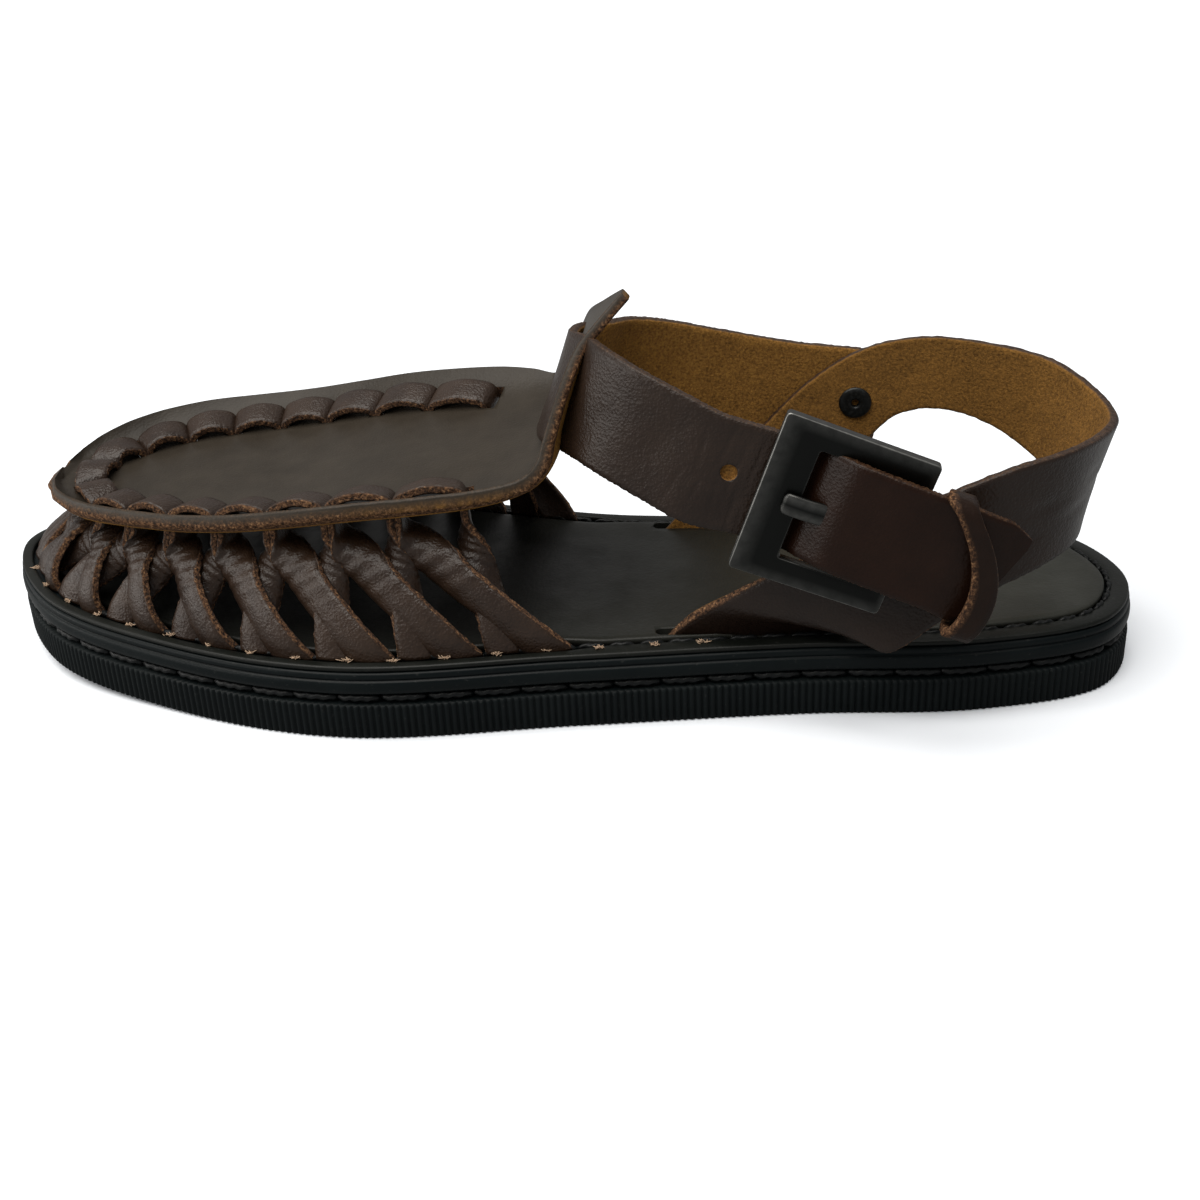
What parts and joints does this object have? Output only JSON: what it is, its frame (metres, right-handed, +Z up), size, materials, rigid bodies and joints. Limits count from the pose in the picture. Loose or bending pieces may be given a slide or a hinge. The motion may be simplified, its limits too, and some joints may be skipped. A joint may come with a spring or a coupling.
{
  "type": "sandal",
  "caption": "Left leather sandal with a dished toe plug laced to the sole by a twisted strip, a buckled instep strap, a heel strap and a ribbed rubber sole",
  "frame": {"origin": "On the floor, in the middle of the sandal's box", "axes": "X along the foot with the toe at -X and the heel at +X, -Y the lateral side with the buckle, +Z up from the floor"},
  "size_m": [0.291, 0.1105, 0.0958],
  "materials": {
    "outsole_rubber": "matte, ribbed side",
    "midsole_rubber": "satin, smooth band over a stitched groove",
    "welt_rubber": "satin",
    "insole_leather": "satin, fine grain",
    "vamp_leather": "waxed, raw brown edges",
    "lace_leather": "waxed, raw brown edges",
    "strap_leather": "waxed outside, gold brown suede inside",
    "buckle_metal": "gunmetal, worn bright on its edges",
    "rivet_metal": "black"
  },
  "bodies": {
    "root": {"outsole": "outsole_rubber", "midsole": "midsole_rubber", "welt": "welt_rubber", "insole": "insole_leather", "vamp": "vamp_leather", "woven_upper": "lace_leather", "heel_strap": "strap_leather", "instep_strap": "strap_leather", "buckle_frame": "buckle_metal", "buckle_prong": "buckle_metal", "buckle_chape": "strap_leather", "strap_keeper": "strap_leather", "rivet_far": "rivet_metal", "rivet_near": "rivet_metal"}
  },
  "joints": []
}
